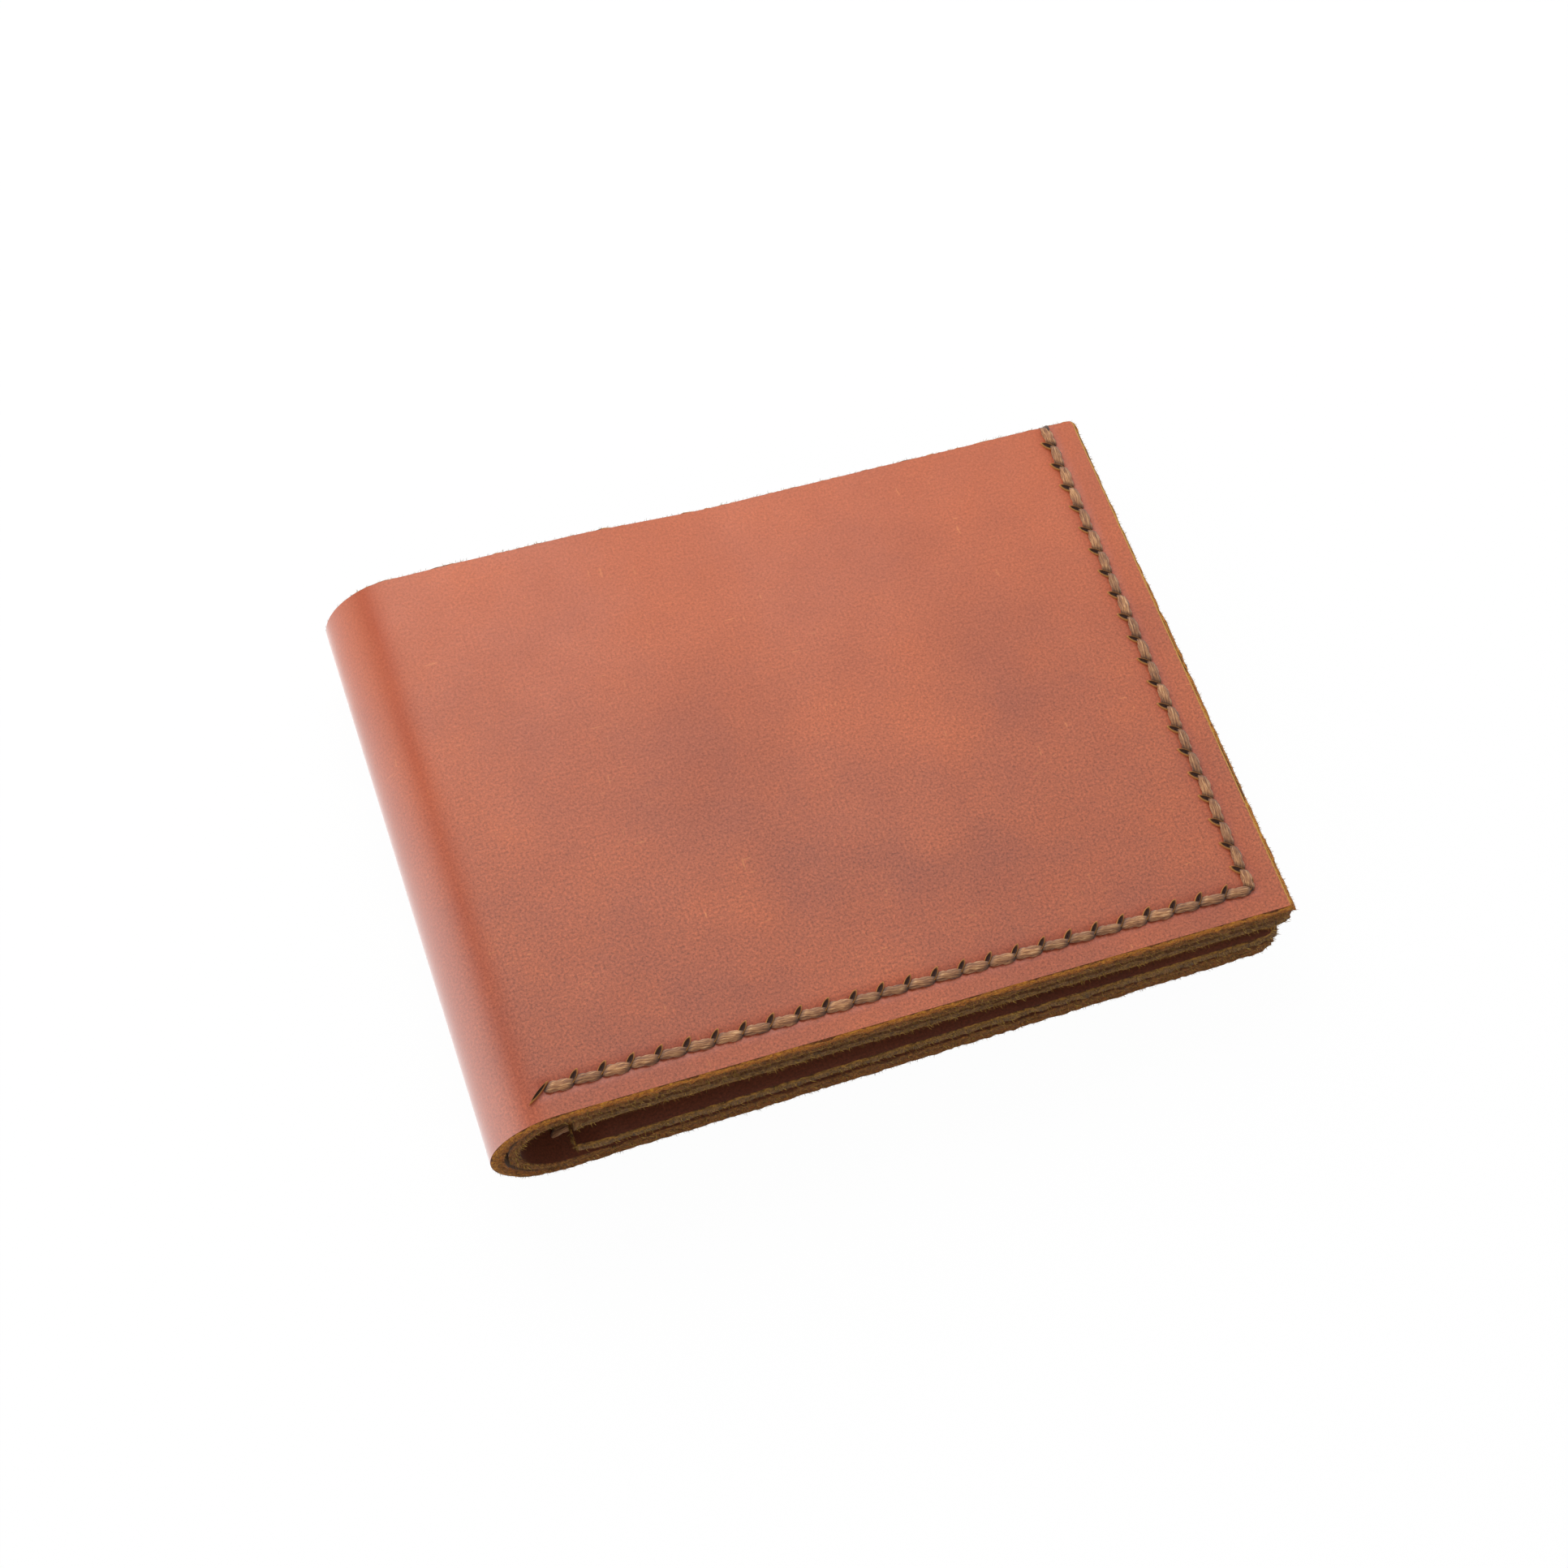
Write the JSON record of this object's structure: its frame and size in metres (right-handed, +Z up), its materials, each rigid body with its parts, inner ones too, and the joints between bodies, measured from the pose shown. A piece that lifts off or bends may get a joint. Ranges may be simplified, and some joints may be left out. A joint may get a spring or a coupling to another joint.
{
  "type": "bifold wallet",
  "caption": "Folded bifold wallet of saddle-stitched leather with a lined shell, T card slots and card pockets; it opens flat about its fold.",
  "frame": {"origin": "centre of the bounding box in plan, at the level of the surface the closed wallet lies on", "axes": "+X from the fold to the free edges, +Y from the sewn bottom edge to the bill opening, +Z up, off the surface"},
  "size_m": [0.1197, 0.0872, 0.0202],
  "materials": {
    "pull_up_leather": "smooth waxed pull-up leather, reddish brown, soft sheen",
    "liner_leather": "smooth tan leather, satin",
    "skived_leather": "thin skived tan leather, satin",
    "pocket_leather": "smooth reddish brown leather, satin",
    "waxed_seam_thread": "waxed khaki thread",
    "waxed_pocket_thread": "waxed khaki thread",
    "waxed_slot_thread": "waxed khaki thread"
  },
  "bodies": {
    "back_half": {"outer_shell_back": "pull_up_leather", "liner_back": "liner_leather", "card_slot_back": "skived_leather", "card_pocket_back": "pocket_leather", "seam_thread_back": "waxed_seam_thread", "pocket_thread_back": "waxed_pocket_thread", "slot_thread_back": "waxed_slot_thread"},
    "fold": {"outer_shell_fold": "pull_up_leather", "liner_fold": "liner_leather"},
    "front_half": {"outer_shell_front": "pull_up_leather", "liner_front": "liner_leather", "card_slot_front": "skived_leather", "card_pocket_front": "pocket_leather", "seam_thread_front": "waxed_seam_thread", "pocket_thread_front": "waxed_pocket_thread", "slot_thread_front": "waxed_slot_thread"}
  },
  "joints": [
    {"name": "back_fold", "type": "hinge", "parent": "back_half", "child": "fold", "pos_m": [-0.05628, 0, 0.00377], "axis": [0, -1, 0], "range_deg": [0, 91.71], "deforming": ["outer_shell_fold", "liner_fold"]},
    {"name": "front_fold", "type": "hinge", "parent": "fold", "child": "front_half", "pos_m": [-0.05589, 0, 0.01681], "axis": [0, -1, 0], "range_deg": [0, 91.71]}
  ],
  "couplings": [
    {"joint": "front_fold", "follows": "back_fold", "ratio": 1}
  ]
}
